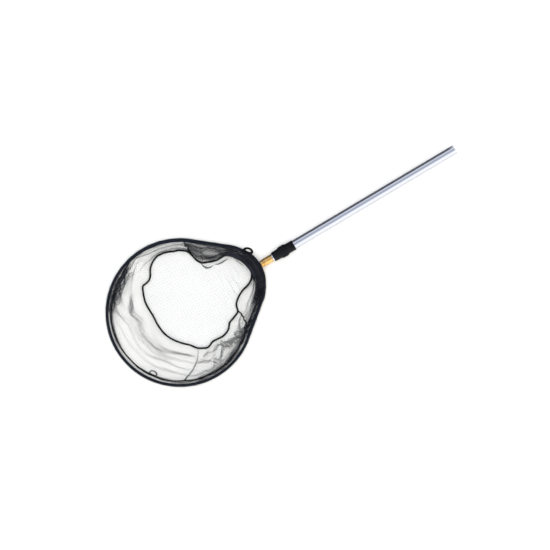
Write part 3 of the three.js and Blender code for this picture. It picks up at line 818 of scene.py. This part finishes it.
def makePanel():
    panel = {"meshSide": 3.8, "strandRadius": 0.165, "z": 0.7, "loft": 2.2}
    reachOut = 240  # half the net's width before it is cut to the seam

    def place(a, b):
        x = a - reachOut + hoop["bowCentreX"]
        y = b - reachOut
        lift = (np.sin(x / 31 + 1.3 * np.sin(y / 47)) * np.sin(y / 39 + 0.8 * np.sin(x / 53)) + 1) / 2
        ridge = np.exp(-((x + 150 - 0.5 * (y - 10)) / 5) ** 2) * np.exp(-((y + 5) / 45) ** 2)
        ridge += 0.8 * np.exp(-((x + 176 + 0.35 * (y + 4)) / 6) ** 2) * np.exp(-((y + 10) / 38) ** 2)
        x = x + 4.5 * ridge * np.sin((x + 150) / 2.5)
        return np.stack([x, y, panel["z"] + panel["loft"] * lift ** 2 + 4 * ridge], -1)

    def inside(points):
        dx = points[:, 0] - hoop["bowCentreX"]
        theta = np.arctan2(points[:, 1], dx) % math.tau
        return np.hypot(dx, points[:, 1]) < byAngle(seamReach, theta) - 0.4

    strands = netStrands(2 * reachOut, 2 * reachOut, panel, place, keep=inside)
    sheet = tubesMesh("bottom_panel_netting", strands)
    return finishPiece(sheet, "head", "panel_netting", panelTwine, "bottom_panel")


def makeTucks():
    # narrow folds of netting that hang a little way past the panel's seam: (x, y) in mm
    tucks = [
        {"line": [(-213.5, 84.9), (-211.3, 75.3), (-205.8, 66.0), (-196.4, 62.7), (-186.6, 64.4)],
         "threads": 9, "spread": 2.2, "radius": 0.3},
        {"line": [(-183.0, 64.2), (-172.7, 59.2), (-161.1, 58.3), (-143.5, 58.5)],
         "threads": 7, "spread": 1.6, "radius": 0.28},
        {"line": [(-130.7, 59.7), (-126.8, 47.1), (-123.3, 32.5), (-116.1, 21.8)],
         "threads": 5, "spread": 2.5, "radius": 0.14},
    ]
    draw = random.Random(5)
    runs = []
    for tuck in tucks:
        line = resample([(x, y, 2.4) for x, y in tuck["line"]], 1.5)
        bow = np.sin(np.linspace(0, math.pi, len(line)))
        for _ in range(tuck["threads"]):
            points = line + draw.uniform(-1, 1) * tuck["spread"] * bow[:, None] * np.array([0.6, 0.8, 0.4])
            points[:, 0] += 0.4 * np.sin(np.arange(len(line)) * draw.uniform(0.3, 0.9))
            runs.append({"points": points, "radius": tuck["radius"], "sides": 5})
    pieces = tubesMesh("panel_tucks", runs)
    return finishPiece(pieces, "head", "bag_netting", bagTwine)


makePanel()
makeTucks()
makeBagWall()
makeFlap()
makeSideSeams()
print("bag netted")

# the sleeve runs round the hoop from one side of the yoke to the other
sleeve = {"meshSide": 4.4, "strandRadius": 0.16, "rodClear": 0.7, "hemInset": 15.4, "noseGap": 28}
sleeveRound = lengthRound(rodReach)


def hoopFrame(a):
    # a point on the rod's line, and the way in towards the bag, for a length round the hoop
    theta = np.interp(a, sleeveRound, np.append(angles, math.tau))
    reach = byAngle(rodReach, theta)
    ahead = byAngle(rodReach, theta + 0.002)
    x = reach * np.cos(theta)
    y = reach * np.sin(theta)
    along = np.stack([ahead * np.cos(theta + 0.002) - x, ahead * np.sin(theta + 0.002) - y], -1)
    along /= np.linalg.norm(along, axis=-1, keepdims=True)
    inward = np.stack([-along[:, 1], along[:, 0]], -1)
    return theta, np.stack([x + hoop["bowCentreX"], y], -1), inward


def fullness(theta):
    # how far the netting is bunched up along the rod
    return (0.4 * plateau(theta, 20, 100, 20) + 0.5 * plateau(theta, 100, 150, 16)
            + 0.7 * plateau(theta, 292, 352, 14) + 0.3 * plateau(theta, 190, 292, 20))


sleeveAcross = (2 * (sleeve["hemInset"] - hoop["rodInset"])
                + math.pi * (hoop["rodRadius"] + sleeve["rodClear"]))


def sleevePlace(a, b):
    # points of the sleeve, by the length round the hoop and the way over the rod from hem to hem
    theta, foot, inward = hoopFrame(a + sleeve["noseGap"])
    full = fullness(theta)
    wrap = hoop["rodRadius"] + sleeve["rodClear"]
    rolled = byAngle(seamRoll, theta)
    flat = sleeve["hemInset"] - hoop["rodInset"] - roll["outward"] * rolled
    half = flat + math.pi * wrap / 2
    t = b / sleeveAcross * 2 * half - half
    turn = np.clip(t / wrap, -math.pi / 2, math.pi / 2)
    beyond = np.maximum(np.abs(t) - math.pi * wrap / 2, 0)
    hem = beyond / flat
    puff = 1 + 0.06 * np.sin(9 * theta) + 0.2 * full * np.sin(41 * theta + 7 * b / sleeveAcross)
    inwards = -wrap * np.cos(turn) * puff + beyond * (1 + 0.25 * full * np.sin(33 * theta))
    rise = wrap * np.sin(turn) * puff * (1 - 0.82 * smooth(hem, 0, 1))
    rise = rise + np.sign(t) * full * 1.6 * np.sin(57 * theta + 9 * hem) * smooth(hem, 0, 0.4)
    spot = foot + inwards[:, None] * inward
    rise = rise - roll["netDrop"] * rolled * smooth(hem, 0, 1)
    return np.stack([spot[:, 0], spot[:, 1], axisZ + rise], -1)


def makeSleeve():
    length = sleeveRound[-1] - 2 * sleeve["noseGap"]
    strands = netStrands(length, sleeveAcross, sleeve, sleevePlace)
    skin = tubesMesh("rim_sleeve_netting", strands)
    return finishPiece(skin, "head", "rim_netting", rimTwine, "rim_sleeve")


def makeRimSeam():
    cord = {"radius": 2.0, "step": 1.0, "layLength": 14.0, "lobeDepth": 0.28, "whipPitch": 5.0,
            "whipLift": 0.3, "threadRadius": 0.6, "seed": 4}
    wander = 0.9 * softNoise(21, angles, 24)
    reach = rimReach + wander * (1 - seamRoll)
    z = axisZ - roll["seamDrop"] * seamRoll + 0.5 * softNoise(8, angles, 15) * (1 - seamRoll)
    path = roundBow(angles, reach, z)
    return sewnCord("rim_seam", path, cord)


def bundle(seed, span, insets, rise, count, radius, wave, ends):
    # strands of bunched netting side by side along the hoop: angles in degrees, insets in mm; ends is
    # the share of the span by which a strand may stop short
    draw = random.Random(seed)
    runs = []
    for _ in range(count):
        start = span[0] + draw.uniform(0, ends) * (span[1] - span[0])
        end = span[1] - draw.uniform(0, ends) * (span[1] - span[0])
        degrees = np.arange(start, end, 0.6)
        theta = np.radians(degrees)
        at = draw.uniform(0, 1)
        drift = draw.uniform(-0.25, 0.25)
        share = np.clip(at + drift * (degrees - start) / (end - start)
                        + wave * np.sin(degrees / draw.uniform(1.5, 4) + draw.uniform(0, 6)), 0, 1)
        inset = insets[0] + (insets[1] - insets[0]) * share
        reach = outlineReach(theta, inset)
        height = rise * math.sqrt(draw.uniform(0, 1)) * draw.choice((-1, 1))
        z = axisZ + height * np.sin(math.pi * np.clip(share, 0.08, 0.92)) + 0.6 * np.sin(
            degrees / draw.uniform(1, 3) + draw.uniform(0, 6))
        runs.append({"points": roundBow(theta, reach, z), "radius": radius * draw.uniform(0.7, 1.3),
                     "sides": 5})
    return runs


def bundles(name, groups, ends=0.25):
    # groups: seed, angles, insets, rise, count, radius, and how wavy the strands are
    return tubesMesh(name, [run for group in groups for run in bundle(*group, ends)])


def makeBunches():
    bunches = bundles("rim_bunches", [
        # along one leg, widest next to the yoke
        (1, (300, 352), (8, 20), 5, 40, 0.4, 0.05), (2, (334, 354), (10, 30), 5, 50, 0.36, 0.1),
        (12, (280, 330), (14, 27), 3, 26, 0.3, 0.2), (13, (252, 296), (15, 24), 2, 12, 0.26, 0.2),
        # along the other leg
        (3, (8, 48), (5, 14), 5, 36, 0.4, 0.05), (4, (40, 108), (5, 12), 4, 18, 0.36, 0.05),
        # past that leg, with a few wide strands that hang further in
        (5, (104, 152), (11, 25), 5, 34, 0.4, 0.16), (6, (108, 144), (18, 38), 4, 24, 0.34, 0.3),
        (8, (138, 186), (13, 22), 3, 12, 0.3, 0.05), (9, (196, 236), (15, 21), 2, 8, 0.3, 0.05),
        # between the rod and the rim seam at the far end
        (14, (222, 300), (10, 17), 2, 14, 0.28, 0.05),
    ])
    return finishPiece(bunches, "head", "rim_netting", bagTwine)


def makeGather():
    # netting bunched over the yoke: a pleated wrap, with loose strands along it. The middle, half
    # width and half height of the wrap's section are given over the yoke and at its two ends.
    gather = {"reach": 11.5, "steps": 72, "sides": 96, "pleats": 13, "taperFrom": 6.0,
              "middle": (11.85, 8.5), "wide": (13.15, 8.2), "high": (12.3, 6.6)}
    degrees = np.linspace(-gather["reach"], gather["reach"], gather["steps"])
    theta = np.radians(degrees)
    turn = math.tau * np.arange(gather["sides"]) / gather["sides"]
    rings = []
    for d, t in zip(degrees, theta):
        share = 1 - smooth(abs(d), gather["taperFrom"], gather["reach"])
        middle, wide, high = (over * share + end * (1 - share) for over, end in
                              (gather["middle"], gather["wide"], gather["high"]))
        pleat = np.sin(gather["pleats"] * turn + 1.8 * math.sin(d / 2.3) + 0.8 * np.sin(3 * turn))
        pleat = 1 - 0.05 * (1 + pleat) - 0.015 * np.sin(31 * turn + d)
        inset = middle - wide * np.sign(np.cos(turn)) * np.abs(np.cos(turn)) ** 0.6 * pleat
        rise = high * np.sign(np.sin(turn)) * np.abs(np.sin(turn)) ** 0.55 * pleat
        rings.append(roundBow(t, outlineReach(t, inset), axisZ + rise))
    sides = gather["sides"]
    faces = [[i * sides + j, i * sides + (j + 1) % sides, (i + 1) * sides + (j + 1) % sides,
              (i + 1) * sides + j] for i in range(len(rings) - 1) for j in range(sides)]
    faces += [list(range(sides))[::-1], [(len(rings) - 1) * sides + j for j in range(sides)]]
    wrap = newPiece("gathered_wrap", rings, faces)
    editPiece(wrap, "SELECT")
    faceOut(50)
    finishPiece(wrap, "head", "rim_netting", rimTwine, "gathered_netting")
    strands = bundles("gathered_strands", [
        (7, (-15, 15), (1.5, 25), 13.4, 150, 0.55, 0.1), (10, (-9, 24), (20, 33), 6, 90, 0.5, 0.12),
        (11, (-24, -4), (1.5, 30), 8, 60, 0.5, 0.12),
    ], ends=0.3)
    return finishPiece(strands, "head", "rim_netting", bagTwine)


def makeCordLoops():
    cord = {"step": 0.5, "layLength": 9.0, "lobeDepth": 0.24}
    loops = {"rim_loop": {"long": 10, "short": 5.5, "turn": -54, "radius": 1.7, "turns": (1.0,)},
             "yoke_loop": {"long": 12.5, "short": 6.5, "turn": -50, "radius": 2.2, "turns": (1.0, 0.74)}}
    for node, loop in loops.items():
        low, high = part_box(node)
        centre = (low + high) / 2 / mm
        t = np.linspace(0, math.tau, 60, endpoint=False)
        x = loop["long"] * np.cos(t) * (1 - 0.15 * np.sin(t))
        y = loop["short"] * np.sin(t)
        flat = (x + 1j * y) * np.exp(1j * math.radians(loop["turn"]))
        path = np.stack([centre.x + flat.real, centre.y + flat.imag, centre.z + 1.2 * np.sin(2 * t)], 1)
        middle = path.mean(axis=0)
        ropes = [laidRope(middle + (path - middle) * share, {**cord, "radius": loop["radius"]})
                 for share in loop["turns"]]
        piece = tubesMesh(node + "_cord", ropes, closed=True)
        finishPiece(piece, "head", "black_cord", seamTwine, node)


makeSleeve()
makeRimSeam()
makeBunches()
makeGather()
makeCordLoops()
print("rim dressed")


def makeStage():
    stage = {"size": 6.0, "drop": 0.0004}
    bpy.ops.mesh.primitive_plane_add(size=stage["size"], location=(0, 0, -stage["drop"]))
    floor = bpy.context.object
    floor.name = "floor"
    floor.data.materials.append(newMaterial("paleMattPaper", {
        "Base Color": rgb("#F5F3EC"), "Roughness": 0.9, "Specular IOR Level": 0.1,
    }))


def makeLights():
    # world: white on one side, blue-grey across the top and paler on the other, so that the tubes
    # show long bands; all of it is bright enough to keep the floor white
    world = bpy.data.worlds.new("studio")
    bpy.context.scene.world = world
    world.use_nodes = True
    tree = world.node_tree
    tree.nodes.clear()
    place = addNode(tree, "ShaderNodeTexCoord")
    parts = addNode(tree, "ShaderNodeSeparateXYZ", {}, {0: place.outputs["Generated"]})
    across = addNode(tree, "ShaderNodeMapRange", {1: -1.0, 2: 1.0, 3: 0.0, 4: 1.0}, {0: parts.outputs["Y"]})
    sky = addNode(tree, "ShaderNodeValToRGB", {}, {0: across.outputs[0]})
    setStops(sky.color_ramp, [(0.0, "#FFFFFF"), (0.22, "#FFFFFF"), (0.36, "#C9CCD4"), (0.48, "#A0A5B2"),
                              (0.68, "#9DA2AF"), (0.76, "#CDD1DA"), (1.0, "#D2D5DC")])
    # pale at and below the horizon, where the floor ends
    height = addNode(tree, "ShaderNodeMapRange", {1: 0.02, 2: 0.05, 3: 0.0, 4: 1.0}, {0: parts.outputs["Z"]})
    whole = addNode(tree, "ShaderNodeMix", {"data_type": "RGBA", 6: rgb("#F6F6F8")},
                    {0: height.outputs[0], 7: sky.outputs[0]})
    background = addNode(tree, "ShaderNodeBackground", {"Strength": 1.75}, {"Color": whole.outputs[2]})
    addNode(tree, "ShaderNodeOutputWorld", {}, {"Surface": background.outputs[0]})
    softbox = {"place": (0.0, 0.6, 5.0), "size": 4.5, "power": 145}
    data = bpy.data.lights.new("overheadSoftbox", "AREA")
    data.shape = "RECTANGLE"
    data.size = data.size_y = softbox["size"]
    data.energy = softbox["power"]
    lamp = newObject("overheadSoftbox", data)
    lamp.location = softbox["place"]
    lamp.visible_camera = False
    lamp.visible_glossy = False
    lamp.rotation_euler = lamp.location.to_track_quat("Z", "Y").to_euler()  # aimed at the middle


def makeCamera():
    # straight down onto the net, with the pole running up to the right
    view = {"fieldWidth": 1.4795, "centre": (-0.0573, -0.0437), "poleTurn": 30.7,
            "lens": 200.0, "sensor": 36.0}
    data = bpy.data.cameras.new("overhead")
    data.lens, data.sensor_width = view["lens"], view["sensor"]
    camera = newObject("overhead", data)
    height = view["fieldWidth"] * view["lens"] / view["sensor"]
    camera.location = (*view["centre"], axisZ * mm + height)
    camera.rotation_euler = (0, 0, -math.radians(view["poleTurn"]))
    bpy.context.scene.camera = camera
    bpy.context.scene.view_settings.view_transform = "Standard"


def makeFlag():
    # grey card beside the pole, lying and then standing, seen only in reflections: it draws the
    # dark line along the far side of the tubes and the ferrule
    card = {"x": (-500, 534), "y": (18.5, 110), "z": 0.3, "rise": 80}
    (rear, front), (near, far) = card["x"], card["y"]
    low, high = card["z"], card["z"] + card["rise"]
    corners = [(rear, near, low), (front, near, low), (front, far, low), (rear, far, low),
               (front, far, high), (rear, far, high)]
    flag = newPiece("grey_card", [np.array(corners)], [(0, 1, 2, 3), (3, 2, 4, 5)])
    flag.visible_camera = False
    flag.visible_diffuse = False
    flag.visible_shadow = False
    flag.data.materials.append(newMaterial("greyCardboard", {
        "Base Color": rgb("#606166"), "Roughness": 1.0, "Specular IOR Level": 0.0,
    }))


makeStage()
makeFlag()
makeLights()
makeCamera()
print("stage set")
